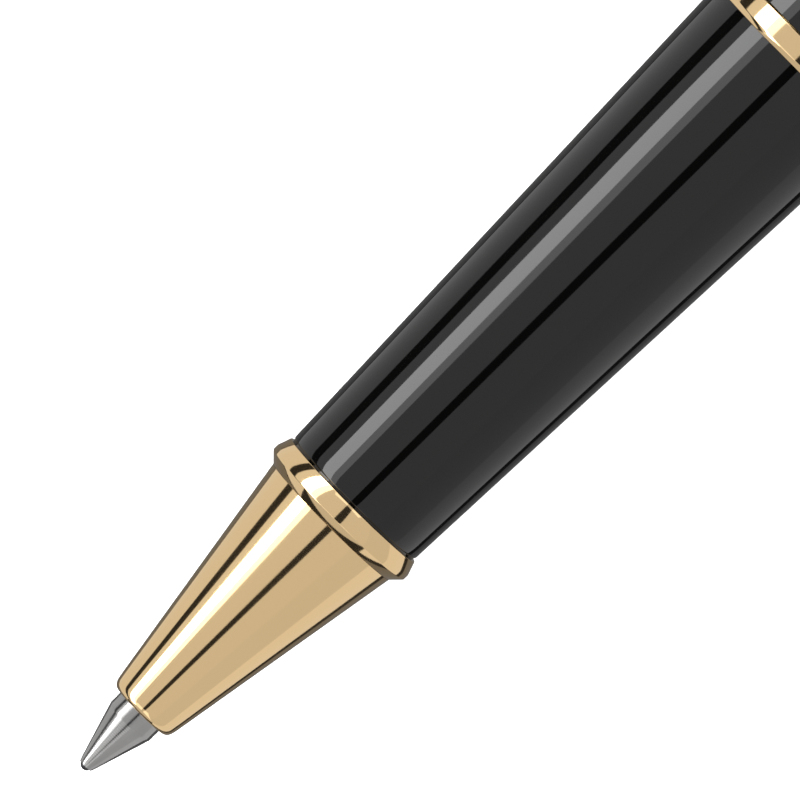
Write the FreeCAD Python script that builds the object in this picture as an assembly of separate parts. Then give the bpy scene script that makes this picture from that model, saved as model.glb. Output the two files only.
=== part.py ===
import FreeCAD, Part
import math
import os

from FreeCAD import Vector

# A posted rollerball pen lying on a table. Every station is a distance in mm from the tip of
# the ball, along the pen's axis, until lay_down() puts the finished piece into the row frame.

# Refill: a stepped capillary refill
BALL_RADIUS = 0.35
BALL_PLAY = 0.012
SOCKET_LIP = 0.21
SOCKET_LIP_RADIUS = 0.40
SOCKET_LIP_EDGE = 0.02
SOCKET_CONE_START = 0.48
SOCKET_CONE_START_RADIUS = 0.49
SOCKET_CONE_END = 3.36
SOCKET_CONE_END_RADIUS = 1.37
SOCKET_SPIGOT_END = 6.2
SOCKET_SPIGOT_RADIUS = 1.0
INK_HOLE_RADIUS = 0.16
WICK_BORE_START = 1.5
WICK_START = 1.6
WICK_RADIUS = 0.5
WICK_END = 30.0
NECK_RADIUS = 1.41
NECK_CHAMFER = 0.06
NECK_END = 9.6
SHOULDER_END = 12.4
SHOULDER_RADIUS = 2.6
REFILL_TUBE_START = 15.2
REFILL_TUBE_RADIUS = 3.05
REFILL_TUBE_BORE = 2.65
REFILL_TUBE_END = 109.0
NOSE_SPIGOT_END = 19.0
RESERVOIR_START = 24.0
RESERVOIR_END = 104.0
RESERVOIR_RADIUS = 2.6
PLUG_SPIGOT_START = 105.5
REFILL_END = 110.5
VENT_RADIUS = 0.4
TUBE_EDGE = 0.25
PLUG_EDGE = 0.3

# Front: nose cone, flange ring, grip section and the threaded connector
REFILL_PLAY = 0.07
SHOULDER_PLAY = 0.05
CONE_START = 4.20
CONE_FRONT_RADIUS = 1.95
CONE_FRONT_ROUND = 0.34
CONE_END = 18.00
CONE_END_RADIUS = 4.20
CONE_SPIGOT_RADIUS = 3.72
CONE_SPIGOT_END = 26.0
CONE_REAR_BORE_START = 15.0
RING_CHAMFER_END = 18.53
RING_RADIUS = 4.72
RING_BAND_END = 18.86
RING_TAPER_END = 19.57
RING_TAPER_RADIUS = 4.47
RING_EDGE = 0.05
GRIP_START = 19.69
GRIP_START_RADIUS = 4.37
GRIP_END = 51.38
GRIP_END_RADIUS = 5.58
GRIP_BORE = 4.0
GRIP_EDGE = 0.08
LINER_START = 21.0
LINER_END = 45.0
FRONT_BORE = 3.30
CENTRE_RING_BEVEL_END = 51.68
CENTRE_RING_RADIUS = 5.80
CENTRE_RING_END = 52.73
CENTRE_RING_BORE = 4.55
CENTRE_RING_EDGE = 0.04
CONNECTOR_COLLAR_RADIUS = 4.55
THREAD_PITCH = 1.0
THREAD_CORE_RADIUS = 4.02
THREAD_CREST_RADIUS = 4.48
THREAD_START = 53.8
THREAD_TURNS = 5.0
THREAD_ROOT_WIDTH = 0.70
THREAD_CREST_WIDTH = 0.18
THREAD_SINK = 0.03
CONNECTOR_END = 59.6
CONNECTOR_LEAD_IN = 0.4

# Barrel
CLOSING_GAP = 0.05
BARREL_START = 52.84
BARREL_START_RADIUS = 5.70
BARREL_BELLY_START = 60.0
BARREL_BELLY_START_RADIUS = 5.78
BARREL_BELLY = 72.0
BARREL_BELLY_RADIUS = 5.80
BARREL_WAIST = 88.0
BARREL_WAIST_RADIUS = 5.60
BARREL_TAPER = 102.0
BARREL_TAPER_RADIUS = 5.27
BARREL_TAIL = 110.0
BARREL_TAIL_RADIUS = 5.04
BARREL_END_RADIUS = 4.82
BARREL_BORE = 5.08
BARREL_INNER_BORE = 4.0
BUSH_START = 53.2
BUSH_END = 61.0
BUSH_BORE = 4.14
THREAD_PLAY = 0.08
GROOVE_TURNS = 8.0
GROOVE_INNER_RADIUS = 4.06
GROOVE_MOUTH_WIDTH = 0.82
GROOVE_FLOOR_WIDTH = 0.26
BARREL_END = 116.6
TAIL_SEAT = 115.4
TAIL_RING_RADIUS = 4.84
TAIL_RING_END = 118.0
TAIL_RING_EDGE = 0.15
TAIL_KNOB_RADIUS = 4.64
TAIL_KNOB_SHOULDER = 120.2
TAIL_KNOB_SHOULDER_RADIUS = 4.45
TAIL_KNOB_BROW = 122.2
TAIL_KNOB_BROW_RADIUS = 3.65
TAIL_KNOB_END = 123.4
TAIL_KNOB_FLAT_RADIUS = 2.2
STUD_RADIUS = 2.0
STUD_PLAY = 0.03
TAIL_STUD_END = 121.0
SEAT_START = 114.2
SEAT_RADIUS = 3.5
SEAT_RECESS = 0.4
SPRING_WIRE = 0.45
SPRING_COIL_RADIUS = 2.3
SPRING_TURNS = 3.2
SPRING_WIRE_SIDES = 12

# Cap, posted on the tail
LIP = 85.5
LIP_BAND_END = 90.0
LIP_BAND_RADIUS = 6.65
LIP_BORE = 5.95
LIP_EDGE = 0.25
LIP_BORE_EDGE = 0.12
THIN_RING_START = 91.3
THIN_RING_END = 92.1
THIN_RING_RADIUS = 6.62
THIN_RING_SEAT = 6.3
THIN_RING_EDGE = 0.1
LINER_BORE = 5.72
LINER_RADIUS = 6.05
LINER_STEP = 116.4
LINER_NARROW_BORE = 4.87
LINER_NARROW_RADIUS = 5.2
CAP_LINER_END = 140.8
LINER_END_WALL = 1.0
LINER_STEP_THICKNESS = 1.0
LINER_STEP_LEAD_IN = 0.8
SNAP_START = 88.4
SNAP_END = 89.2
SNAP_BORE = 5.82
SNAP_RADIUS = 6.25
SNAP_GAP_WIDTH = 2.0
SNAP_PLAY = 0.05
SHELL_START_RADIUS = 6.52
SHELL_STRAIGHT_END = 100.0
SHELL_STRAIGHT_RADIUS = 6.53
SHELL_SHOULDER = 112.0
SHELL_SHOULDER_RADIUS = 6.45
SHELL_TAPER = 124.0
SHELL_TAPER_RADIUS = 6.25
SHELL_NECK = 134.0
SHELL_NECK_RADIUS = 5.95
SHELL_END = 142.5
SHELL_END_RADIUS = 5.6
COLLAR_END = 144.0
COLLAR_RADIUS = 5.78
COLLAR_BORE = 2.03
FINIAL_RADIUS = 5.45
FINIAL_SHOULDER = 146.5
FINIAL_SHOULDER_RADIUS = 5.15
FINIAL_BROW = 149.2
FINIAL_BROW_RADIUS = 4.25
FINIAL_END = 151.0
FINIAL_FLAT_RADIUS = 3.0
FINIAL_STUD_END = 148.0
DISC_RADIUS = 2.5
DISC_DEPTH = 0.35
DISC_CROWN = 0.25
DISC_EDGE = 0.15

# Clip, a sprung arm hinged on the collar, built pointing down (-Z)
CLIP_PIVOT_STATION = 143.25
CLIP_PIVOT_RADIUS = 6.36
CLIP_BOSS_RADIUS = 0.5
CLIP_PIN_RADIUS = 0.25
CLIP_PIN_PLAY = 0.03
CLIP_SIDE_PLAY = 0.05
CLIP_ROOT_WIDTH = 3.0
CLIP_END_WIDTH = 2.2
CLIP_THICKNESS = 0.85
CLIP_SHOULDER_STATION = 134.0
CLIP_SHOULDER_RADIUS = 7.35
CLIP_MIDDLE_STATION = 120.0
CLIP_MIDDLE_RADIUS = 7.75
CLIP_ARM_END = 104.0
CLIP_ARM_END_RADIUS = 7.9
CLIP_BALL_STATION = 103.4
CLIP_BALL_RADIUS = 1.15
CLIP_BALL_CENTRE = 7.72
LUG_WIDTH = 4.4
LUG_SINK = 0.3

PEN_LENGTH = FINIAL_END + DISC_CROWN
AXIS_HEIGHT = LIP_BAND_RADIUS
CLIP_LEAN = math.degrees(math.acos((AXIS_HEIGHT - CLIP_BALL_RADIUS) / CLIP_BALL_CENTRE))

AXIS = Vector(1, 0, 0)
ORIGIN = Vector(0, 0, 0)


def turned(profile):
    """A solid of revolution about the pen's axis, from (station, radius) corners."""
    corners = [Vector(station, 0, radius) for station, radius in profile]
    wire = Part.makePolygon(corners + [corners[0]])
    return Part.Face(wire).revolve(ORIGIN, AXIS, 360)


def turned_smooth(curve, inner):
    """A solid of revolution whose outside is a smooth curve and whose inside is straight."""
    outside = Part.BSplineCurve()
    outside.interpolate([Vector(station, 0, radius) for station, radius in curve])
    ends = [Vector(station, 0, radius) for station, radius in inner]
    path = [outside.toShape()]
    last = Vector(curve[-1][0], 0, curve[-1][1])
    for end in ends + [Vector(curve[0][0], 0, curve[0][1])]:
        path.append(Part.makeLine(last, end))
        last = end
    return Part.Face(Part.Wire(path)).revolve(ORIGIN, AXIS, 360)


def rod(start, end, radius):
    """A plain cylinder between two stations."""
    return Part.makeCylinder(radius, end - start, Vector(start, 0, 0), AXIS)


def tube(start, end, radius, bore):
    """A plain tube between two stations."""
    return rod(start, end, radius).cut(rod(start, end, bore))


def softened(shape, corners, size):
    """Round the circular edges that lie at the given (station, radius) corners."""
    edges = []
    for edge in shape.Edges:
        if edge.Curve.TypeId != "Part::GeomCircle":
            continue
        for station, radius in corners:
            near = abs(edge.Curve.Center.x - station) < 0.01
            if near and abs(edge.Curve.Radius - radius) < 0.01:
                edges.append(edge)
    return shape.makeFillet(size, edges)


def thread(start, turns, root, crest, root_width, crest_width):
    """A right-handed helical ridge with straight flanks."""
    profile = [
        Vector(root, 0, -root_width / 2),
        Vector(root, 0, root_width / 2),
        Vector(crest, 0, crest_width / 2),
        Vector(crest, 0, -crest_width / 2),
    ]
    wire = Part.makePolygon(profile + [profile[0]])
    path = Part.Wire(Part.makeHelix(THREAD_PITCH, THREAD_PITCH * turns, root))
    ridge = path.makePipeShell([wire], True, True)
    ridge.rotate(ORIGIN, Vector(0, 1, 0), 90)
    ridge.translate(Vector(start, 0, 0))
    return ridge


def lay_down(shape):
    """Turn the pen until the clip's end touches the table, and put the box's bottom centre at 0."""
    shape.rotate(ORIGIN, AXIS, -CLIP_LEAN)
    shape.translate(Vector(-PEN_LENGTH / 2, 0, AXIS_HEIGHT))
    return shape


# ---- refill ----


def writing_ball():
    """The carbide ball that rolls the ink out."""
    return Part.makeSphere(BALL_RADIUS, Vector(BALL_RADIUS, 0, 0))


def tip_socket():
    """A turned steel cone swaged over the ball, with an ink hole and a bore for the wick."""
    body = turned([
        (SOCKET_LIP, 0),
        (SOCKET_LIP, SOCKET_LIP_RADIUS - SOCKET_LIP_EDGE),
        (SOCKET_LIP + SOCKET_LIP_EDGE, SOCKET_LIP_RADIUS),
        (SOCKET_CONE_START, SOCKET_CONE_START_RADIUS),
        (SOCKET_CONE_END, SOCKET_CONE_END_RADIUS),
        (SOCKET_CONE_END + NECK_CHAMFER, SOCKET_CONE_END_RADIUS),
        (SOCKET_CONE_END + NECK_CHAMFER, SOCKET_SPIGOT_RADIUS),
        (SOCKET_SPIGOT_END, SOCKET_SPIGOT_RADIUS),
        (SOCKET_SPIGOT_END, 0),
    ])
    seat = Part.makeSphere(BALL_RADIUS + BALL_PLAY, Vector(BALL_RADIUS, 0, 0))
    ink_hole = rod(BALL_RADIUS, WICK_START, INK_HOLE_RADIUS)
    wick_bore = rod(WICK_BORE_START, SOCKET_SPIGOT_END, WICK_RADIUS)
    return body.cut(seat).cut(ink_hole).cut(wick_bore)


def refill_nose():
    """The steel neck and shoulder of the refill, which seats in the nose cone."""
    neck_start = SOCKET_CONE_END + NECK_CHAMFER
    body = turned([
        (neck_start, SOCKET_SPIGOT_RADIUS),
        (neck_start, NECK_RADIUS - NECK_CHAMFER),
        (neck_start + NECK_CHAMFER, NECK_RADIUS),
        (NECK_END, NECK_RADIUS),
        (SHOULDER_END, SHOULDER_RADIUS),
        (REFILL_TUBE_START, SHOULDER_RADIUS),
        (REFILL_TUBE_START, REFILL_TUBE_BORE),
        (NOSE_SPIGOT_END, REFILL_TUBE_BORE),
        (NOSE_SPIGOT_END, WICK_RADIUS),
        (SOCKET_SPIGOT_END, WICK_RADIUS),
        (SOCKET_SPIGOT_END, SOCKET_SPIGOT_RADIUS),
    ])
    return body


def feed_rod():
    """The fibre wick that carries ink from the reservoir to the ball."""
    return rod(WICK_START, WICK_END, WICK_RADIUS)


def refill_tube():
    """The plastic tube of the refill."""
    body = tube(REFILL_TUBE_START, REFILL_TUBE_END, REFILL_TUBE_RADIUS, REFILL_TUBE_BORE)
    return softened(body, [(REFILL_TUBE_START, REFILL_TUBE_RADIUS)], TUBE_EDGE)


def ink_reservoir():
    """The fibre core that holds the ink, with a hole for the wick."""
    core = rod(RESERVOIR_START, RESERVOIR_END, RESERVOIR_RADIUS)
    return core.cut(rod(RESERVOIR_START, WICK_END, WICK_RADIUS))


def refill_end_plug():
    """The vented plug that closes the refill and takes the spring."""
    body = turned([
        (PLUG_SPIGOT_START, VENT_RADIUS),
        (PLUG_SPIGOT_START, REFILL_TUBE_BORE),
        (REFILL_TUBE_END, REFILL_TUBE_BORE),
        (REFILL_TUBE_END, REFILL_TUBE_RADIUS),
        (REFILL_END, REFILL_TUBE_RADIUS),
        (REFILL_END, VENT_RADIUS),
    ])
    return softened(body, [(REFILL_END, REFILL_TUBE_RADIUS)], PLUG_EDGE)


# ---- front ----


def nose_cone():
    """The gold-plated brass cone that centres the refill's neck."""
    bore = NECK_RADIUS + REFILL_PLAY
    wide = SHOULDER_RADIUS + REFILL_PLAY
    body = turned([
        (CONE_START, bore),
        (CONE_START, CONE_FRONT_RADIUS),
        (CONE_END, CONE_END_RADIUS),
        (CONE_END, CONE_SPIGOT_RADIUS),
        (CONE_SPIGOT_END, CONE_SPIGOT_RADIUS),
        (CONE_SPIGOT_END, FRONT_BORE),
        (CONE_REAR_BORE_START, FRONT_BORE),
        (CONE_REAR_BORE_START, wide),
        (SHOULDER_END - SHOULDER_PLAY, wide),
        (NECK_END - SHOULDER_PLAY, bore),
    ])
    return softened(body, [(CONE_START, CONE_FRONT_RADIUS)], CONE_FRONT_ROUND)


def front_ring():
    """The gold-plated flange ring between the cone and the grip."""
    body = turned([
        (CONE_END, CONE_SPIGOT_RADIUS),
        (CONE_END, CONE_END_RADIUS),
        (RING_CHAMFER_END, RING_RADIUS),
        (RING_BAND_END, RING_RADIUS),
        (RING_TAPER_END, RING_TAPER_RADIUS),
        (RING_TAPER_END, GRIP_START_RADIUS),
        (GRIP_START, GRIP_START_RADIUS - RING_EDGE),
        (GRIP_START, CONE_SPIGOT_RADIUS),
    ])
    return softened(body, [(RING_CHAMFER_END, RING_RADIUS)], RING_EDGE)


def grip_section():
    """The black resin grip, a long slim cone."""
    body = turned([
        (GRIP_START, CONE_SPIGOT_RADIUS),
        (GRIP_START, GRIP_START_RADIUS),
        (GRIP_END, GRIP_END_RADIUS),
        (GRIP_END, GRIP_BORE),
        (LINER_START, GRIP_BORE),
        (LINER_START, CONE_SPIGOT_RADIUS),
    ])
    return softened(body, [(GRIP_START, GRIP_START_RADIUS)], GRIP_EDGE)


def grip_liner():
    """The brass tube glued inside the grip, over the cone's spigot."""
    return turned([
        (LINER_START, CONE_SPIGOT_RADIUS),
        (LINER_START, GRIP_BORE),
        (LINER_END, GRIP_BORE),
        (LINER_END, FRONT_BORE),
        (CONE_SPIGOT_END, FRONT_BORE),
        (CONE_SPIGOT_END, CONE_SPIGOT_RADIUS),
    ])


def thread_connector():
    """The brass connector: a spigot in the grip, a seat for the ring and the male thread."""
    body = turned([
        (LINER_END, FRONT_BORE),
        (LINER_END, GRIP_BORE),
        (GRIP_END, GRIP_BORE),
        (GRIP_END, CONNECTOR_COLLAR_RADIUS),
        (CENTRE_RING_END, CONNECTOR_COLLAR_RADIUS),
        (CENTRE_RING_END, THREAD_CORE_RADIUS),
        (CONNECTOR_END - CONNECTOR_LEAD_IN, THREAD_CORE_RADIUS),
        (CONNECTOR_END, THREAD_CORE_RADIUS - CONNECTOR_LEAD_IN),
        (CONNECTOR_END, FRONT_BORE),
    ])
    root = THREAD_CORE_RADIUS - THREAD_SINK
    widths = (THREAD_ROOT_WIDTH, THREAD_CREST_WIDTH)
    return body.fuse(thread(THREAD_START, THREAD_TURNS, root, THREAD_CREST_RADIUS, *widths))


def centre_ring():
    """The gold-plated ring between the grip and the barrel."""
    body = turned([
        (GRIP_END, CENTRE_RING_BORE),
        (GRIP_END, GRIP_END_RADIUS),
        (CENTRE_RING_BEVEL_END, CENTRE_RING_RADIUS),
        (CENTRE_RING_END, CENTRE_RING_RADIUS),
        (CENTRE_RING_END, CENTRE_RING_BORE),
    ])
    return softened(body, [(CENTRE_RING_END, CENTRE_RING_RADIUS)], CENTRE_RING_EDGE)


# ---- barrel ----


def barrel_shell():
    """The black resin barrel, slightly bellied and drawn in to the tail."""
    outside = [
        (BARREL_START, BARREL_START_RADIUS),
        (BARREL_BELLY_START, BARREL_BELLY_START_RADIUS),
        (BARREL_BELLY, BARREL_BELLY_RADIUS),
        (BARREL_WAIST, BARREL_WAIST_RADIUS),
        (BARREL_TAPER, BARREL_TAPER_RADIUS),
        (BARREL_TAIL, BARREL_TAIL_RADIUS),
        (BARREL_END, BARREL_END_RADIUS),
    ]
    inside = [
        (BARREL_END, STUD_RADIUS + STUD_PLAY),
        (TAIL_SEAT, STUD_RADIUS + STUD_PLAY),
        (TAIL_SEAT, BARREL_INNER_BORE),
        (BUSH_END, BARREL_INNER_BORE),
        (BUSH_END, BARREL_BORE),
        (BARREL_START, BARREL_BORE),
    ]
    return turned_smooth(outside, inside)


def thread_bush():
    """The brass bush in the barrel's mouth, with the female thread."""
    body = tube(BUSH_START, BUSH_END, BARREL_BORE, BUSH_BORE)
    floor = THREAD_CREST_RADIUS + THREAD_PLAY
    widths = (GROOVE_MOUTH_WIDTH, GROOVE_FLOOR_WIDTH)
    start = THREAD_START - THREAD_PITCH
    return body.cut(thread(start, GROOVE_TURNS, GROOVE_INNER_RADIUS, floor, *widths))


def tail_ring():
    """The gold-plated ring at the barrel's tail, the land that the cap posts on."""
    body = tube(BARREL_END, TAIL_RING_END, TAIL_RING_RADIUS, STUD_RADIUS + STUD_PLAY)
    return softened(body, [(TAIL_RING_END, TAIL_RING_RADIUS)], TAIL_RING_EDGE)


def tail_knob():
    """The black resin end knob, with a small flat end."""
    outside = [
        (TAIL_RING_END, TAIL_KNOB_RADIUS),
        (TAIL_KNOB_SHOULDER, TAIL_KNOB_SHOULDER_RADIUS),
        (TAIL_KNOB_BROW, TAIL_KNOB_BROW_RADIUS),
        (TAIL_KNOB_END, TAIL_KNOB_FLAT_RADIUS),
    ]
    inside = [
        (TAIL_KNOB_END, 0),
        (TAIL_STUD_END, 0),
        (TAIL_STUD_END, STUD_RADIUS + STUD_PLAY),
        (TAIL_RING_END, STUD_RADIUS + STUD_PLAY),
    ]
    return turned_smooth(outside, inside)


def tail_stud():
    """The brass stud that holds the knob and the ring on the barrel."""
    return rod(TAIL_SEAT, TAIL_STUD_END, STUD_RADIUS)


def spring_seat():
    """The loose plastic cup between the spring and the barrel's end."""
    cup = rod(SEAT_START, TAIL_SEAT - CLOSING_GAP, SEAT_RADIUS)
    return cup.cut(rod(SEAT_START, SEAT_START + SEAT_RECESS, SPRING_COIL_RADIUS + SPRING_WIRE))


def refill_spring():
    """The short coil spring that holds the refill forwards, of wire drawn with small flats."""
    start = REFILL_END + SPRING_WIRE / 2
    length = SEAT_START + SEAT_RECESS - REFILL_END - SPRING_WIRE
    helix = Part.makeHelix(length / SPRING_TURNS, length, SPRING_COIL_RADIUS)
    corners = []
    for side in range(SPRING_WIRE_SIDES):
        angle = 2 * math.pi * side / SPRING_WIRE_SIDES
        across = SPRING_COIL_RADIUS + SPRING_WIRE / 2 * math.cos(angle)
        corners.append(Vector(across, 0, SPRING_WIRE / 2 * math.sin(angle)))
    section = Part.makePolygon(corners + [corners[0]])
    coil = Part.Wire(helix).makePipeShell([section], True, True)
    coil.rotate(ORIGIN, Vector(0, 1, 0), 90)
    coil.translate(Vector(start, 0, 0))
    return coil


# ---- cap ----


def cap_shell():
    """The black resin cap, straight at the mouth and drawn in to the finial."""
    outside = [
        (LIP_BAND_END, SHELL_START_RADIUS),
        (SHELL_STRAIGHT_END, SHELL_STRAIGHT_RADIUS),
        (SHELL_SHOULDER, SHELL_SHOULDER_RADIUS),
        (SHELL_TAPER, SHELL_TAPER_RADIUS),
        (SHELL_NECK, SHELL_NECK_RADIUS),
        (SHELL_END, SHELL_END_RADIUS),
    ]
    inside = [
        (SHELL_END, COLLAR_BORE),
        (CAP_LINER_END, COLLAR_BORE),
        (CAP_LINER_END, LINER_NARROW_RADIUS),
        (LINER_STEP + LINER_STEP_THICKNESS, LINER_NARROW_RADIUS),
        (LINER_STEP + LINER_STEP_THICKNESS, LINER_RADIUS),
        (LIP_BAND_END, LINER_RADIUS),
    ]
    body = turned_smooth(outside, inside)
    groove = tube(THIN_RING_START, THIN_RING_END, THIN_RING_RADIUS, THIN_RING_SEAT)
    return body.cut(groove)


def cap_liner():
    """The plastic inner cap, wide over the grip and narrow and blind over the nose."""
    return turned([
        (LIP_BAND_END, LINER_BORE),
        (LIP_BAND_END, LINER_RADIUS),
        (LINER_STEP + LINER_STEP_THICKNESS, LINER_RADIUS),
        (LINER_STEP + LINER_STEP_THICKNESS, LINER_NARROW_RADIUS),
        (CAP_LINER_END, LINER_NARROW_RADIUS),
        (CAP_LINER_END, 0),
        (CAP_LINER_END - LINER_END_WALL, 0),
        (CAP_LINER_END - LINER_END_WALL, LINER_NARROW_BORE),
        (LINER_STEP, LINER_NARROW_BORE),
        (LINER_STEP - LINER_STEP_LEAD_IN, LINER_BORE),
    ])


def cap_lip_band():
    """The gold-plated band around the cap's mouth, grooved inside for the snap ring."""
    body = tube(LIP, LIP_BAND_END, LIP_BAND_RADIUS, LIP_BORE)
    body = body.cut(rod(SNAP_START - SNAP_PLAY, SNAP_END + SNAP_PLAY, SNAP_RADIUS + SNAP_PLAY))
    rims = [(LIP, LIP_BAND_RADIUS), (LIP_BAND_END, LIP_BAND_RADIUS)]
    return softened(softened(body, rims, LIP_EDGE), [(LIP, LIP_BORE)], LIP_BORE_EDGE)


def cap_snap_ring():
    """The split spring ring that clicks over the centre ring when the pen is capped."""
    body = tube(SNAP_START, SNAP_END, SNAP_RADIUS, SNAP_BORE)
    size = (SNAP_END - SNAP_START, SNAP_GAP_WIDTH, SNAP_RADIUS)
    gap = Part.makeBox(*size, Vector(SNAP_START, -SNAP_GAP_WIDTH / 2, 0))
    return body.cut(gap)


def cap_thin_ring():
    """The thin gold-plated ring set into the cap above its lip band."""
    body = tube(THIN_RING_START, THIN_RING_END, THIN_RING_RADIUS, THIN_RING_SEAT)
    rims = [(THIN_RING_START, THIN_RING_RADIUS), (THIN_RING_END, THIN_RING_RADIUS)]
    return softened(body, rims, THIN_RING_EDGE)


def clip_collar():
    """The gold-plated collar under the finial, with a forked lug and pin for the clip."""
    body = tube(SHELL_END, COLLAR_END, COLLAR_RADIUS, COLLAR_BORE)
    depth = CLIP_PIVOT_RADIUS + CLIP_BOSS_RADIUS
    length = COLLAR_END - SHELL_END
    lug = Part.makeBox(length, LUG_WIDTH, depth, Vector(SHELL_END, -LUG_WIDTH / 2, -depth))
    lug = lug.cut(rod(SHELL_END, COLLAR_END, COLLAR_RADIUS - LUG_SINK))
    slot_width = CLIP_ROOT_WIDTH + 2 * CLIP_SIDE_PLAY
    slot = Part.makeBox(length, slot_width, depth, Vector(SHELL_END, -slot_width / 2, -depth))
    slot = slot.cut(rod(SHELL_END, COLLAR_END, COLLAR_RADIUS))
    pin_start = Vector(CLIP_PIVOT_STATION, -LUG_WIDTH / 2, -CLIP_PIVOT_RADIUS)
    pin = Part.makeCylinder(CLIP_PIN_RADIUS, LUG_WIDTH, pin_start, Vector(0, 1, 0))
    return body.fuse([lug.cut(slot), pin]).removeSplitter()


def clip_strip():
    """The clip's bowed strip before its ends are added, tapering towards the ball."""
    half_root = CLIP_ROOT_WIDTH / 2
    half_end = CLIP_END_WIDTH / 2
    plan = Part.makePolygon([
        Vector(CLIP_ARM_END, -half_end, 0),
        Vector(CLIP_PIVOT_STATION, -half_root, 0),
        Vector(CLIP_PIVOT_STATION, half_root, 0),
        Vector(CLIP_ARM_END, half_end, 0),
        Vector(CLIP_ARM_END, -half_end, 0),
    ])
    blank = Part.Face(plan).extrude(Vector(0, 0, -2 * CLIP_ARM_END_RADIUS))
    bow = [
        (CLIP_SHOULDER_STATION, CLIP_SHOULDER_RADIUS),
        (CLIP_MIDDLE_STATION, CLIP_MIDDLE_RADIUS),
        (CLIP_ARM_END, CLIP_ARM_END_RADIUS),
    ]
    above = [(CLIP_PIVOT_STATION, CLIP_PIVOT_RADIUS + CLIP_BOSS_RADIUS)] + bow
    below = [(CLIP_PIVOT_STATION, CLIP_PIVOT_RADIUS - CLIP_BOSS_RADIUS)]
    below += [(station, radius - CLIP_THICKNESS) for station, radius in bow]
    outer = Part.BSplineCurve()
    outer.interpolate([Vector(station, -half_root, -radius) for station, radius in above])
    inner = Part.BSplineCurve()
    inner.interpolate([Vector(station, -half_root, -radius) for station, radius in below])
    side = Part.Wire([
        outer.toShape(),
        Part.makeLine(outer.EndPoint, inner.EndPoint),
        inner.toShape(),
        Part.makeLine(inner.StartPoint, outer.StartPoint),
    ])
    return Part.Face(side).extrude(Vector(0, CLIP_ROOT_WIDTH, 0)).common(blank)


def clip_arm():
    """The gold-plated clip: the strip with a ball end and an eye for the collar's pin."""
    eye_start = Vector(CLIP_PIVOT_STATION, -CLIP_ROOT_WIDTH / 2, -CLIP_PIVOT_RADIUS)
    across = Vector(0, 1, 0)
    boss = Part.makeCylinder(CLIP_BOSS_RADIUS, CLIP_ROOT_WIDTH, eye_start, across)
    hole_radius = CLIP_PIN_RADIUS + CLIP_PIN_PLAY
    eye = Part.makeCylinder(hole_radius, CLIP_ROOT_WIDTH, eye_start, across)
    ball = Part.makeSphere(CLIP_BALL_RADIUS, Vector(CLIP_BALL_STATION, 0, -CLIP_BALL_CENTRE))
    return clip_strip().fuse([boss, ball]).cut(eye)


def cap_finial():
    """The black resin finial, domed, with a shallow recess for its disc."""
    outside = [
        (COLLAR_END, FINIAL_RADIUS),
        (FINIAL_SHOULDER, FINIAL_SHOULDER_RADIUS),
        (FINIAL_BROW, FINIAL_BROW_RADIUS),
        (FINIAL_END, FINIAL_FLAT_RADIUS),
    ]
    inside = [
        (FINIAL_END, DISC_RADIUS),
        (FINIAL_END - DISC_DEPTH, DISC_RADIUS),
        (FINIAL_END - DISC_DEPTH, 0),
        (FINIAL_STUD_END, 0),
        (FINIAL_STUD_END, COLLAR_BORE),
        (COLLAR_END, COLLAR_BORE),
    ]
    return turned_smooth(outside, inside)


def finial_stud():
    """The brass stud that clamps the finial and the collar to the cap."""
    return rod(CAP_LINER_END, FINIAL_STUD_END, STUD_RADIUS)


def finial_disc():
    """The plain disc set into the finial."""
    body = rod(FINIAL_END - DISC_DEPTH, FINIAL_END + DISC_CROWN, DISC_RADIUS)
    return softened(body, [(FINIAL_END + DISC_CROWN, DISC_RADIUS)], DISC_EDGE)


NODES = {
    "writing_ball": writing_ball,
    "tip_socket": tip_socket,
    "refill_nose": refill_nose,
    "feed_rod": feed_rod,
    "refill_tube": refill_tube,
    "ink_reservoir": ink_reservoir,
    "refill_end_plug": refill_end_plug,
    "nose_cone": nose_cone,
    "front_ring": front_ring,
    "grip_section": grip_section,
    "grip_liner": grip_liner,
    "thread_connector": thread_connector,
    "centre_ring": centre_ring,
    "barrel_shell": barrel_shell,
    "thread_bush": thread_bush,
    "tail_ring": tail_ring,
    "tail_knob": tail_knob,
    "tail_stud": tail_stud,
    "spring_seat": spring_seat,
    "refill_spring": refill_spring,
    "cap_shell": cap_shell,
    "cap_liner": cap_liner,
    "cap_lip_band": cap_lip_band,
    "cap_snap_ring": cap_snap_ring,
    "cap_thin_ring": cap_thin_ring,
    "clip_collar": clip_collar,
    "clip_arm": clip_arm,
    "cap_finial": cap_finial,
    "finial_stud": finial_stud,
    "finial_disc": finial_disc,
}

os.makedirs("parts", exist_ok=True)
for name, make in NODES.items():
    shape = lay_down(make())
    shape.exportStep("parts/" + name + ".step")
    print(name, shape.ShapeType, len(shape.Solids), shape.isValid(), round(shape.Volume, 3))
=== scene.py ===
import math

import bpy
from mathutils import Matrix, Vector


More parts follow.
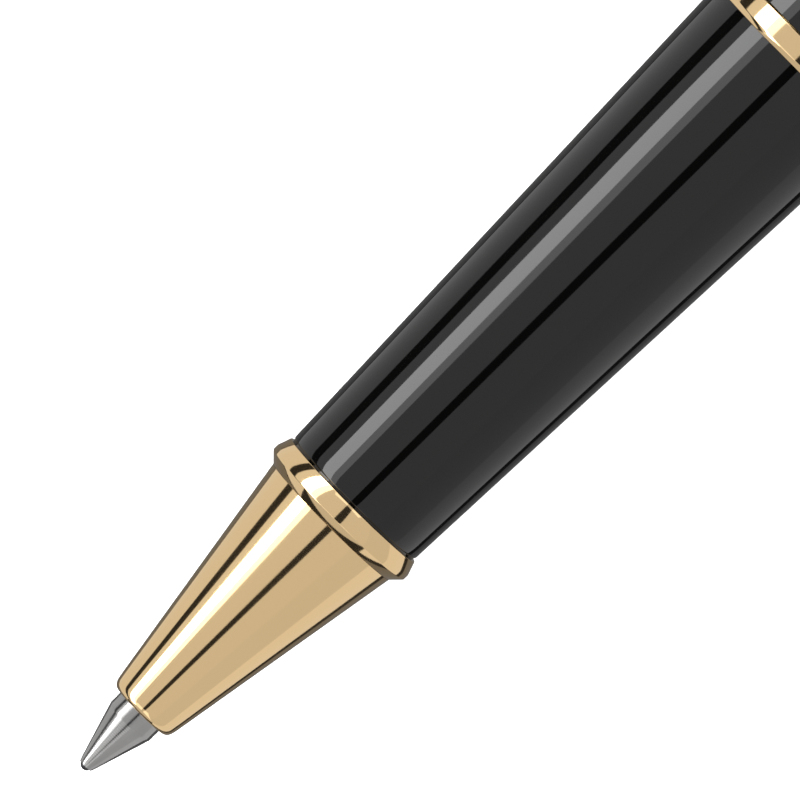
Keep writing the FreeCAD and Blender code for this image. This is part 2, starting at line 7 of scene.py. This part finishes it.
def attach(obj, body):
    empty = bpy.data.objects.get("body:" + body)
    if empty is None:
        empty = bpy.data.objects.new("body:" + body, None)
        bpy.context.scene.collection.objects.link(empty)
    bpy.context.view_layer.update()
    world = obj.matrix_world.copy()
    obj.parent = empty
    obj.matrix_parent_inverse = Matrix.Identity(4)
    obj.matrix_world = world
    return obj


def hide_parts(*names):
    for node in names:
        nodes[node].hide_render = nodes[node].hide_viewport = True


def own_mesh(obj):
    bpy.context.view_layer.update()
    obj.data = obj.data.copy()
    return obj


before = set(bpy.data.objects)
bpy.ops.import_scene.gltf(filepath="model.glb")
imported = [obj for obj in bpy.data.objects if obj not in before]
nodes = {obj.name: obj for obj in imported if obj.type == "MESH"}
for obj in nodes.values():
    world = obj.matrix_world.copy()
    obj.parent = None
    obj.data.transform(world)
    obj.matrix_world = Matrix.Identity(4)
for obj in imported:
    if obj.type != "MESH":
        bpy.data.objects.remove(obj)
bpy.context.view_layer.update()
bpy.ops.object.select_all(action="DESELECT")


# ---- Writing ball and tip socket ----------------------------------------------------------------
# A tungsten carbide ball held by the swaged lip of a steel cone, turned on a lathe with the cutter's
# fine rings left on it and a small shoulder where it meets the neck.

MM = 0.001
TIP_X = -0.075625
AXIS_Z = 0.00665


def turned(name, profile, body, node, segments=144, edge=0.0, solid=False):
    """A round piece, extruded and scaled from corner to corner of its (station, radius) profile.
    Stations are millimetres from the tip of the ball. A solid piece is filled at both ends. With
    an edge size its corners are rounded by that much and its flats stay flat up to them."""
    bpy.ops.object.select_all(action="DESELECT")
    station, radius = profile[0]
    bpy.ops.mesh.primitive_circle_add(
        vertices=segments,
        radius=radius * MM,
        fill_type="NGON" if solid else "NOTHING",
        location=(TIP_X + station * MM, 0, AXIS_Z),
        rotation=(0, math.pi / 2, 0),
        enter_editmode=True,
    )
    piece = bpy.context.object
    piece.name = name
    bpy.ops.mesh.select_all(action="SELECT")
    for next_station, next_radius in profile[1:]:
        bpy.ops.mesh.extrude_region_move()
        bpy.ops.transform.translate(value=((next_station - station) * MM, 0, 0))
        bpy.ops.transform.resize(
            value=(1, next_radius / radius, next_radius / radius),
            center_override=(TIP_X + next_station * MM, 0, AXIS_Z),
        )
        station, radius = next_station, next_radius
    bpy.ops.mesh.select_all(action="SELECT")
    bpy.ops.mesh.remove_doubles(threshold=0.0000005)
    bpy.ops.mesh.normals_make_consistent(inside=False)
    bpy.ops.object.mode_set(mode="OBJECT")
    bpy.ops.object.transform_apply(location=True, rotation=True, scale=True)
    if edge:
        rounding = piece.modifiers.new("edges", "BEVEL")
        rounding.width = edge * MM
        rounding.segments = 3
        rounding.limit_method = "ANGLE"
        rounding.angle_limit = math.radians(20)
        bpy.ops.object.modifier_apply(modifier="edges")
    bpy.ops.object.shade_smooth_by_angle(angle=math.radians(30))
    if edge:
        piece.modifiers.new("flats", "WEIGHTED_NORMAL").weight = 100
        bpy.ops.object.modifier_apply(modifier="flats")
    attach(piece, body)
    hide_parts(node)
    return piece


def new_material(name):
    """A material with an empty Principled shader, ready for its nodes."""
    material = bpy.data.materials.new(name)
    material.use_nodes = True
    nodes_in, links_in = material.node_tree.nodes, material.node_tree.links
    return material, nodes_in, links_in, nodes_in["Principled BSDF"]


def give(piece, material):
    """The piece wears this material all over."""
    piece.data.materials.clear()
    piece.data.materials.append(material)


def handling_marks():
    """Faint smudges and hair scratches from use, as a mask and a height that vary over the surface."""
    group = bpy.data.node_groups.new("handling marks", "ShaderNodeTree")
    face = group.interface
    face.new_socket("Smudge Size", in_out="INPUT", socket_type="NodeSocketFloat").default_value = 120
    face.new_socket("Scratch Size", in_out="INPUT", socket_type="NodeSocketFloat").default_value = 900
    face.new_socket("Smudge", in_out="OUTPUT", socket_type="NodeSocketFloat")
    face.new_socket("Height", in_out="OUTPUT", socket_type="NodeSocketFloat")
    n, l = group.nodes, group.links
    entry, leave = n.new("NodeGroupInput"), n.new("NodeGroupOutput")
    place = n.new("ShaderNodeTexCoord")
    smudge = n.new("ShaderNodeTexNoise")
    smudge.inputs["Detail"].default_value = 3
    l.new(place.outputs["Object"], smudge.inputs["Vector"])
    l.new(entry.outputs["Smudge Size"], smudge.inputs["Scale"])
    stretch = n.new("ShaderNodeMapping")
    stretch.inputs["Rotation"].default_value = (0.3, 0.2, 0.5)
    stretch.inputs["Scale"].default_value = (0.12, 1.0, 1.0)
    scratch = n.new("ShaderNodeTexNoise")
    scratch.inputs["Detail"].default_value = 2
    l.new(place.outputs["Object"], stretch.inputs["Vector"])
    l.new(stretch.outputs["Vector"], scratch.inputs["Vector"])
    l.new(entry.outputs["Scratch Size"], scratch.inputs["Scale"])
    l.new(smudge.outputs["Fac"], leave.inputs["Smudge"])
    l.new(scratch.outputs["Fac"], leave.inputs["Height"])
    return group


marks = handling_marks()


def ranged(n, l, source, low, high):
    """A 0 to 1 value spread between two limits."""
    node = n.new("ShaderNodeMapRange")
    node.inputs["From Min"].default_value = 0.3
    node.inputs["From Max"].default_value = 0.7
    node.inputs["To Min"].default_value = low
    node.inputs["To Max"].default_value = high
    l.new(source, node.inputs["Value"])
    return node.outputs["Result"]


def mixed(n, l, factor, first, second):
    """Two colours mixed by a varying factor."""
    node = n.new("ShaderNodeMix")
    node.data_type = "RGBA"
    node.inputs["A"].default_value = (*first, 1)
    node.inputs["B"].default_value = (*second, 1)
    l.new(factor, node.inputs["Factor"])
    return node.outputs["Result"]


def polished(name, light, dark, metallic, smooth, dull, scratch_depth, smudge_size=120):
    """A polished surface whose colour and gloss drift a little, with faint scratches."""
    material, n, l, shader = new_material(name)
    use = n.new("ShaderNodeGroup")
    use.node_tree = marks
    use.inputs["Smudge Size"].default_value = smudge_size
    use.inputs["Scratch Size"].default_value = 1800
    l.new(mixed(n, l, use.outputs["Smudge"], light, dark), shader.inputs["Base Color"])
    l.new(ranged(n, l, use.outputs["Smudge"], smooth, dull), shader.inputs["Roughness"])
    shader.inputs["Metallic"].default_value = metallic
    bump = n.new("ShaderNodeBump")
    bump.inputs["Strength"].default_value = 0.25
    bump.inputs["Distance"].default_value = scratch_depth
    l.new(use.outputs["Height"], bump.inputs["Height"])
    l.new(bump.outputs["Normal"], shader.inputs["Normal"])
    return material, n, l, shader


def lathe_turned(name, light, dark, pitch, smooth, dull, depth):
    """Bare metal straight off the lathe: fine rings along the axis over a slight drift of tone."""
    material, n, l, shader = new_material(name)
    place = n.new("ShaderNodeTexCoord")
    rings = n.new("ShaderNodeTexWave")
    rings.bands_direction = "X"
    rings.inputs["Scale"].default_value = 1 / (pitch * MM) / 6.283
    rings.inputs["Distortion"].default_value = 0.6
    rings.inputs["Detail"].default_value = 2
    l.new(place.outputs["Object"], rings.inputs["Vector"])
    use = n.new("ShaderNodeGroup")
    use.node_tree = marks
    use.inputs["Smudge Size"].default_value = 600
    l.new(mixed(n, l, use.outputs["Smudge"], light, dark), shader.inputs["Base Color"])
    l.new(ranged(n, l, use.outputs["Smudge"], smooth, dull), shader.inputs["Roughness"])
    shader.inputs["Metallic"].default_value = 1.0
    bump = n.new("ShaderNodeBump")
    bump.inputs["Strength"].default_value = 0.35
    bump.inputs["Distance"].default_value = depth * MM
    l.new(rings.outputs["Fac"], bump.inputs["Height"])
    l.new(bump.outputs["Normal"], shader.inputs["Normal"])
    return material


bpy.ops.mesh.primitive_uv_sphere_add(
    segments=64, ring_count=32, radius=0.35 * MM, location=(TIP_X + 0.35 * MM, 0, AXIS_Z)
)
ball = bpy.context.object
ball.name = "rolling_ball"
bpy.ops.object.transform_apply(location=True, rotation=True, scale=True)
bpy.ops.object.shade_smooth()
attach(ball, "ball")
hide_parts("writing_ball")
carbide, _, _, _ = polished(
    "tungsten carbide", (0.13, 0.13, 0.135), (0.08, 0.08, 0.085), 1.0, 0.15, 0.25, 0.000001, 1500
)
give(ball, carbide)

socket = turned(
    "tip_socket_piece",
    [
        (0.34, 0.362), (0.28, 0.355), (0.22, 0.339), (0.212, 0.345), (0.206, 0.36),
        (0.215, 0.385), (0.25, 0.402), (0.34, 0.437), (0.50, 0.495), (3.30, 1.352),
        (3.36, 1.370), (3.42, 1.372), (3.42, 1.0), (6.2, 1.0), (6.2, 0.5), (1.5, 0.5), (1.5, 0.16),
        (0.68, 0.16), (0.60, 0.262), (0.50, 0.330), (0.42, 0.355), (0.34, 0.362),
    ],
    "refill", "tip_socket",
)
tip_steel = lathe_turned(
    "turned steel", (0.42, 0.415, 0.41), (0.34, 0.335, 0.33), 0.06, 0.12, 0.20, 0.0012
)
give(socket, tip_steel)


# ---- Refill ------------------------------------------------------------------------------------
# A steel neck and shoulder pressed into a plastic tube, with a bonded fibre core inside that holds
# the ink, a wick to the ball and a vented plug at the back.

neck = turned(
    "refill_neck",
    [
        (3.42, 1.0), (3.42, 1.405), (9.6, 1.41), (12.4, 2.6),
        (15.2, 2.6), (15.2, 2.65), (19.0, 2.65), (19.0, 0.5), (6.2, 0.5), (6.2, 1.0), (3.42, 1.0),
    ],
    "refill", "refill_nose", edge=0.01,
)
give(neck, tip_steel)


def moulded(name, light, dark, rough):
    """Plain moulded plastic with a faint mottle and a satin skin."""
    material, n, l, shader = new_material(name)
    use = n.new("ShaderNodeGroup")
    use.node_tree = marks
    use.inputs["Smudge Size"].default_value = 400
    l.new(mixed(n, l, use.outputs["Smudge"], light, dark), shader.inputs["Base Color"])
    l.new(ranged(n, l, use.outputs["Smudge"], rough, rough + 0.12), shader.inputs["Roughness"])
    return material


refill_plastic = moulded("refill plastic", (0.72, 0.72, 0.70), (0.62, 0.62, 0.60), 0.38)
give(nodes["refill_tube"], refill_plastic)
give(nodes["refill_end_plug"], refill_plastic)


def bonded_fibre(name):
    """Long bonded fibres lying along the axis."""
    material, n, l, shader = new_material(name)
    place = n.new("ShaderNodeTexCoord")
    stretch = n.new("ShaderNodeMapping")
    stretch.inputs["Scale"].default_value = (0.04, 1, 1)
    strands = n.new("ShaderNodeTexNoise")
    strands.inputs["Scale"].default_value = 6000
    l.new(place.outputs["Object"], stretch.inputs["Vector"])
    l.new(stretch.outputs["Vector"], strands.inputs["Vector"])
    colour = mixed(n, l, strands.outputs["Fac"], (0.80, 0.79, 0.76), (0.45, 0.45, 0.47))
    l.new(colour, shader.inputs["Base Color"])
    l.new(ranged(n, l, strands.outputs["Fac"], 0.7, 0.95), shader.inputs["Roughness"])
    return material


fibre = bonded_fibre("ink fibre")
give(nodes["feed_rod"], fibre)
give(nodes["ink_reservoir"], fibre)


# ---- Nose cone and front ring -------------------------------------------------------------------
# Two brass turnings plated with pale gold and polished: the cone that centres the refill's neck,
# and the flange with its bright bevelled edge that is clamped between the cone and the grip.

cone = turned(
    "nose_cone_piece",
    [
        (4.20, 1.48), (4.20, 1.61), (4.212, 1.70), (4.25, 1.78), (4.31, 1.85), (4.39, 1.91),
        (4.48, 1.955), (4.58, 1.99), (4.70, 2.017), (5.20, 2.102), (18.0, 4.20),
        (18.0, 3.72), (26.0, 3.72), (26.0, 3.30), (15.0, 3.30), (15.0, 2.67), (12.35, 2.67),
        (9.55, 1.48), (4.20, 1.48),
    ],
    "front", "nose_cone",
)
gold, _, _, _ = polished(
    "pale gold plate", (0.88, 0.64, 0.35), (0.86, 0.615, 0.325), 1.0, 0.05, 0.09, 0.0000004
)
give(cone, gold)

ring = turned(
    "front_ring_piece",
    [
        (18.0, 3.72), (18.0, 4.20), (18.53, 4.72), (18.86, 4.72), (19.57, 4.47), (19.57, 3.72),
        (18.0, 3.72),
    ],
    "front", "front_ring", edge=0.03,
)
give(ring, gold)


# ---- Grip section -------------------------------------------------------------------------------
# The black resin grip: one long slim cone polished to a mirror, glued over a brass tube.

grip = turned(
    "grip_section_piece",
    [
        (19.57, 3.72), (19.57, 4.30), (19.69, 4.32), (19.72, 4.35), (19.78, 4.377), (20.2, 4.393),
        (30.0, 4.765), (40.0, 5.146), (51.34, 5.578), (51.38, 5.56), (51.38, 4.0), (21.0, 4.0),
        (21.0, 3.72), (19.57, 3.72),
    ],
    "front", "grip_section",
)
resin, _, _, resin_shader = polished(
    "black resin", (0.0012, 0.0011, 0.0010), (0.0008, 0.0008, 0.0007), 0.0, 0.03, 0.06, 0.0000004, 60
)
resin_shader.inputs["IOR"].default_value = 1.5
give(grip, resin)

bare_brass = lathe_turned("bare brass", (0.60, 0.43, 0.19), (0.50, 0.35, 0.14), 0.12, 0.22, 0.32, 0.003)
for name in ("grip_liner", "thread_connector", "thread_bush", "tail_stud", "finial_stud"):
    give(nodes[name], bare_brass)


# ---- Centre ring --------------------------------------------------------------------------------
# A gold-plated ring with a bevel towards the grip and softened rims, seated on the connector's
# collar; the barrel closes against it with a hairline gap.

centre = turned(
    "centre_ring_piece",
    [
        (51.38, 4.55), (51.38, 5.60), (51.68, 5.80), (52.73, 5.80), (52.73, 4.55), (51.38, 4.55),
    ],
    "front", "centre_ring", edge=0.035,
)
give(centre, gold)


# ---- Barrel -------------------------------------------------------------------------------------
# The black resin barrel, turned from rod with a slight belly and drawn in to the tail, bored for
# the refill, with its brass thread bush pressed into the mouth.

barrel = turned(
    "barrel",
    [
        (52.80, 5.08), (52.80, 5.67), (52.83, 5.70), (56.0, 5.738), (60.0, 5.78),
        (66.0, 5.812), (72.0, 5.80), (80.0, 5.715), (88.0, 5.60), (95.0, 5.455), (102.0, 5.27),
        (110.0, 5.04), (116.6, 4.82), (116.6, 2.0), (115.4, 2.0), (115.4, 4.0), (61.0, 4.0),
        (61.0, 5.08), (52.80, 5.08),
    ],
    "barrel", "barrel_shell",
)
give(barrel, resin)


# ---- Tail ---------------------------------------------------------------------------------------
# A gold-plated ring and a black resin knob, held on the barrel's end by a brass stud. The loose
# plastic seat and the spring behind the refill lie inside.

tail = turned(
    "tail_ring_piece",
    [
        (116.6, 2.0), (116.6, 4.84), (117.85, 4.84), (117.94, 4.815), (118.0, 4.74), (118.0, 2.0),
        (116.6, 2.0),
    ],
    "barrel", "tail_ring",
)
give(tail, gold)

knob = turned(
    "tail_knob_piece",
    [
        (118.0, 2.0), (118.0, 4.58), (118.06, 4.63), (118.8, 4.63), (119.6, 4.56), (120.2, 4.45),
        (120.9, 4.25), (121.6, 3.97), (122.2, 3.65), (122.7, 3.25), (123.1, 2.80), (123.36, 2.35),
        (123.4, 2.2), (123.4, 0.05), (121.0, 0.05), (121.0, 2.0), (118.0, 2.0),
    ],
    "barrel", "tail_knob",
)
give(knob, resin)

spring_steel = lathe_turned("spring steel", (0.55, 0.55, 0.56), (0.42, 0.42, 0.43), 0.2, 0.2, 0.3, 0.001)
give(nodes["refill_spring"], spring_steel)
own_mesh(nodes["refill_spring"])
give(nodes["cap_snap_ring"], spring_steel)
inner_plastic = moulded("inner plastic", (0.05, 0.05, 0.055), (0.035, 0.035, 0.04), 0.42)
give(nodes["spring_seat"], inner_plastic)
give(nodes["cap_liner"], inner_plastic)


# ---- Cap ----------------------------------------------------------------------------------------
# The black resin cap, posted on the tail: a turned shell over a plastic liner, with a wide
# gold-plated band around its mouth and a thin ring set into it above.

shell = turned(
    "cap_shell_piece",
    [
        (90.0, 6.05), (90.0, 6.50), (90.03, 6.52), (91.28, 6.522), (91.3, 6.30), (92.1, 6.30),
        (92.12, 6.522), (96.0, 6.528), (100.0, 6.53), (106.0, 6.505), (112.0, 6.45),
        (118.0, 6.362), (124.0, 6.25), (129.0, 6.118), (134.0, 5.95), (138.5, 5.775),
        (142.44, 5.602), (142.5, 5.55), (142.5, 2.0), (140.8, 2.0), (140.8, 5.2), (117.4, 5.2),
        (117.4, 6.05), (90.0, 6.05),
    ],
    "cap", "cap_shell",
)
give(shell, resin)

band = turned(
    "lip_band",
    [
        (85.62, 5.95), (85.53, 5.99), (85.5, 6.07), (85.5, 6.40), (85.53, 6.50), (85.60, 6.58),
        (85.68, 6.63), (85.75, 6.65), (89.75, 6.65), (89.82, 6.63), (89.90, 6.58), (89.97, 6.50),
        (90.0, 6.40), (90.0, 5.95), (89.25, 5.95), (89.25, 6.3), (88.35, 6.3), (88.35, 5.95),
        (85.62, 5.95),
    ],
    "cap", "cap_lip_band",
)
give(band, gold)

thin = turned(
    "thin_ring",
    [
        (91.3, 6.30), (91.3, 6.54), (91.33, 6.59), (91.4, 6.62), (92.0, 6.62), (92.07, 6.59),
        (92.1, 6.54), (92.1, 6.30), (91.3, 6.30),
    ],
    "cap", "cap_thin_ring",
)
give(thin, gold)


# ---- Finial -------------------------------------------------------------------------------------
# A domed black resin end with a plain gold-plated disc let into it, clamped down on the clip's
# collar by a brass stud.

finial = turned(
    "finial",
    [
        (144.0, 2.0), (144.0, 5.40), (144.05, 5.445), (145.2, 5.34), (146.5, 5.15), (147.9, 4.78),
        (149.2, 4.25), (150.1, 3.73), (150.7, 3.27), (150.96, 3.05), (151.0, 2.95), (151.0, 2.5),
        (150.65, 2.5), (150.65, 0.05), (148.0, 0.05), (148.0, 2.0), (144.0, 2.0),
    ],
    "cap", "cap_finial",
)
give(finial, resin)

disc = turned(
    "finial_disc_piece",
    [
        (150.65, 2.5), (151.10, 2.5), (151.20, 2.455), (151.25, 2.35), (151.25, 0.05),
    ],
    "cap", "finial_disc", solid=True,
)
give(disc, gold)


# ---- Clip ---------------------------------------------------------------------------------------
# A gold-plated collar under the finial with a forked lug, and the bowed clip that is pinned in it:
# a strip that tapers towards a ball end, which presses on the cap.

clip_turn = (math.radians(-44.565), 0, 0)


def lay_down(piece, body, node):
    """Turn a piece built straight under the axis to where the clip lies, and finish it."""
    bpy.ops.object.select_all(action="DESELECT")
    piece.select_set(True)
    bpy.context.view_layer.objects.active = piece
    bpy.ops.object.transform_apply(location=True, rotation=True, scale=True)
    piece.rotation_euler = clip_turn
    piece.location = (TIP_X, 0, AXIS_Z)
    bpy.ops.object.transform_apply(location=True, rotation=True, scale=True)
    bpy.ops.object.shade_smooth_by_angle(angle=math.radians(35))
    piece.modifiers.new("flats", "WEIGHTED_NORMAL").keep_sharp = True
    bpy.ops.object.modifier_apply(modifier="flats")
    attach(piece, body)
    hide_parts(node)


def round_bar(radius, length, station, height, lie, segments=64):
    """A cylinder lying along the axis or across it, at a station and a depth under the axis."""
    turns = {"along": (0, math.pi / 2, 0), "across": (math.pi / 2, 0, 0)}
    bpy.ops.object.select_all(action="DESELECT")
    bpy.ops.mesh.primitive_cylinder_add(
        vertices=segments, radius=radius * MM, depth=length * MM,
        location=(station * MM, 0, -height * MM), rotation=turns[lie],
    )
    return bpy.context.object


def rounded_block(low, high, edge):
    """A block between two (station, across, height) corners with softened edges."""
    bpy.ops.object.select_all(action="DESELECT")
    bpy.ops.mesh.primitive_cube_add(size=1, location=[(a + b) / 2 * MM for a, b in zip(low, high)])
    block = bpy.context.object
    block.scale = [(b - a) * MM for a, b in zip(low, high)]
    bpy.ops.object.transform_apply(location=True, rotation=True, scale=True)
    rounding = block.modifiers.new("edges", "BEVEL")
    rounding.width = edge * MM
    rounding.segments = 3
    bpy.ops.object.modifier_apply(modifier="edges")
    return block


def combine(piece, other, operation):
    """Add the other solid to the piece or cut it away, and drop the other solid."""
    bpy.ops.object.select_all(action="DESELECT")
    bpy.context.view_layer.objects.active = piece
    piece.select_set(True)
    step = piece.modifiers.new("combine", "BOOLEAN")
    step.operation = operation
    step.object = other
    bpy.ops.object.modifier_apply(modifier="combine")
    bpy.data.objects.remove(other)


collar = round_bar(5.78, 1.5, 143.25, 0, "along", 144)
collar.name = "clip_collar_piece"
rim = collar.modifiers.new("edges", "BEVEL")
rim.width = 0.06 * MM
rim.segments = 3
bpy.ops.object.modifier_apply(modifier="edges")
combine(collar, rounded_block((142.51, -2.2, -6.86), (143.99, 2.2, -5.0), 0.12), "UNION")
slot_floor = rounded_block((142.0, -1.55, -7.4), (144.5, 1.55, -5.76), 0.02)
combine(collar, slot_floor, "DIFFERENCE")
combine(collar, round_bar(2.03, 4, 143.25, 0, "along"), "DIFFERENCE")
combine(collar, round_bar(0.25, 4.36, 143.25, 6.36, "across", 32), "UNION")
lay_down(collar, "cap", "clip_collar")
give(collar, gold)

bow = [
    (143.25, 1.500, 6.860, 5.860), (142.0, 1.487, 6.939, 5.970), (140.0, 1.467, 7.057, 6.130),
    (138.0, 1.446, 7.164, 6.271), (136.0, 1.426, 7.262, 6.394), (134.0, 1.406, 7.350, 6.500),
    (131.0, 1.375, 7.466, 6.632), (128.0, 1.345, 7.564, 6.734), (124.0, 1.304, 7.670, 6.834),
    (120.0, 1.263, 7.750, 6.900), (116.0, 1.222, 7.809, 6.944), (112.0, 1.182, 7.851, 6.977),
    (108.0, 1.141, 7.880, 7.008), (104.0, 1.100, 7.900, 7.050),
]
bpy.ops.object.select_all(action="DESELECT")
bpy.ops.mesh.primitive_plane_add(size=1, rotation=(0, math.pi / 2, 0), enter_editmode=True)
arm = bpy.context.object
arm.name = "clip_arm_piece"
at, half, outer, inner = bow[0]
bpy.ops.mesh.select_all(action="SELECT")
bpy.ops.transform.resize(value=(1, 2 * half * MM, (outer - inner) * MM))
bpy.ops.transform.translate(value=(at * MM, 0, -(outer + inner) / 2 * MM))
for next_at, next_half, next_outer, next_inner in bow[1:]:
    middle = -(next_outer + next_inner) / 2
    bpy.ops.mesh.extrude_region_move()
    bpy.ops.transform.translate(
        value=((next_at - at) * MM, 0, (middle + (outer + inner) / 2) * MM)
    )
    bpy.ops.transform.resize(
        value=(1, next_half / half, (next_outer - next_inner) / (outer - inner)),
        center_override=(next_at * MM, 0, middle * MM),
    )
    at, half, outer, inner = next_at, next_half, next_outer, next_inner
bpy.ops.mesh.select_all(action="SELECT")
bpy.ops.mesh.normals_make_consistent(inside=False)
bpy.ops.object.mode_set(mode="OBJECT")
bpy.ops.object.transform_apply(location=True, rotation=True, scale=True)
rounding = arm.modifiers.new("edges", "BEVEL")
rounding.width = 0.22 * MM
rounding.segments = 4
rounding.limit_method = "ANGLE"
rounding.angle_limit = math.radians(40)
bpy.ops.object.modifier_apply(modifier="edges")
combine(arm, round_bar(0.5, 3.0, 143.25, 6.36, "across"), "UNION")
bpy.ops.object.select_all(action="DESELECT")
bpy.ops.mesh.primitive_uv_sphere_add(
    segments=64, ring_count=32, radius=1.15 * MM, location=(103.4 * MM, 0, -7.72 * MM)
)
combine(arm, bpy.context.object, "UNION")
combine(arm, round_bar(0.28, 4, 143.25, 6.36, "across", 32), "DIFFERENCE")
lay_down(arm, "clip", "clip_arm")
give(arm, gold)


# ---- Floor, light and camera --------------------------------------------------------------------
# A plain white floor that glows evenly like a light table and is left out of reflections, a few
# long soft boxes that light every piece alike, and a long lens that looks almost straight down on
# the front of the pen.

bpy.ops.object.select_all(action="DESELECT")
bpy.ops.mesh.primitive_plane_add(size=8, location=(0, 0, -0.0002))
floor = bpy.context.object
floor.name = "floor"
floor_material, _, _, floor_shader = new_material("pale floor")
floor_shader.inputs["Base Color"].default_value = (0.9, 0.9, 0.9, 1)
floor_shader.inputs["Roughness"].default_value = 0.9
floor_shader.inputs["Emission Color"].default_value = (1, 1, 1, 1)
floor_shader.inputs["Emission Strength"].default_value = 1.0
give(floor, floor_material)
floor.visible_glossy = False


def softbox(name, low, high, level, reach=0.5):
    """A long soft box beside the pen. Its edges are at two angles from straight up, positive to the
    +Y side, and its level is the brightness of its face."""
    middle = math.radians((low + high) / 2)
    length = 2.0
    width = 2 * reach * math.tan(math.radians((high - low) / 2))
    lamp = bpy.data.lights.new(name, "AREA")
    lamp.shape = "RECTANGLE"
    lamp.size = length
    lamp.size_y = width
    lamp.energy = math.pi * level * length * width
    box = bpy.data.objects.new(name, lamp)
    bpy.context.scene.collection.objects.link(box)
    along = Vector((1, 0, 0))
    outward = Vector((0, math.sin(middle), math.cos(middle)))
    turn = Matrix((along, outward.cross(along), outward)).transposed().to_4x4()
    box.matrix_world = Matrix.Translation(outward * reach + Vector((0, 0, AXIS_Z))) @ turn


def end_card(x, level, width=1.0, height=1.2):
    """A white card across one end of the pen, so that what faces that way isn't dark."""
    lamp = bpy.data.lights.new("end_card", "AREA")
    lamp.shape = "RECTANGLE"
    lamp.size = height
    lamp.size_y = width
    lamp.energy = math.pi * level * width * height
    card = bpy.data.objects.new("end_card", lamp)
    bpy.context.scene.collection.objects.link(card)
    card.location = (x, 0, 0.5)
    card.rotation_euler = (0, math.copysign(math.pi / 2, x), 0)


softbox("far_skirt", -130, -92, 0.8)
softbox("far_wall", -92, -50, 0.65)
softbox("far_roof", -50, -10, 0.68)
softbox("near_roof", 0.5, 34, 0.7)
softbox("key_rim", 34, 44, 2.2)
softbox("key_box", 44, 63, 6)
softbox("near_wall", 63, 77, 0.8)
softbox("near_skirt", 91, 138, 0.75)
softbox("under_glow", 140, 220, 0.15)
end_card(-1.0, 0.6)
end_card(1.0, 0.6)

world = bpy.data.worlds.new("studio")
bpy.context.scene.world = world
world.use_nodes = True
background = world.node_tree.nodes["Background"]
background.inputs["Color"].default_value = (1, 1, 1, 1)
background.inputs["Strength"].default_value = 0.03

bpy.context.scene.view_settings.view_transform = "Standard"

aim = Vector((-0.050739, 0.00193, AXIS_Z))
eye = Vector((0.0144, 0.0, 1.05 + AXIS_Z))
ahead = (aim - eye).normalized()
pen_across = Vector((1, 0, 0)) - ahead * ahead.x
pen_across.normalize()
side = (-ahead).cross(pen_across)
lean = math.radians(44.81)
view_width = 0.0409
right = pen_across * math.cos(lean) - side * math.sin(lean)
up = pen_across * math.sin(lean) + side * math.cos(lean)
camera = bpy.data.objects.new("camera", bpy.data.cameras.new("camera"))
bpy.context.scene.collection.objects.link(camera)
camera.matrix_world = Matrix.Translation(eye) @ Matrix((right, up, -ahead)).transposed().to_4x4()
camera.data.sensor_width = 36
camera.data.lens = camera.data.sensor_width * (aim - eye).length / view_width
camera.data.clip_end = 20
bpy.context.scene.camera = camera
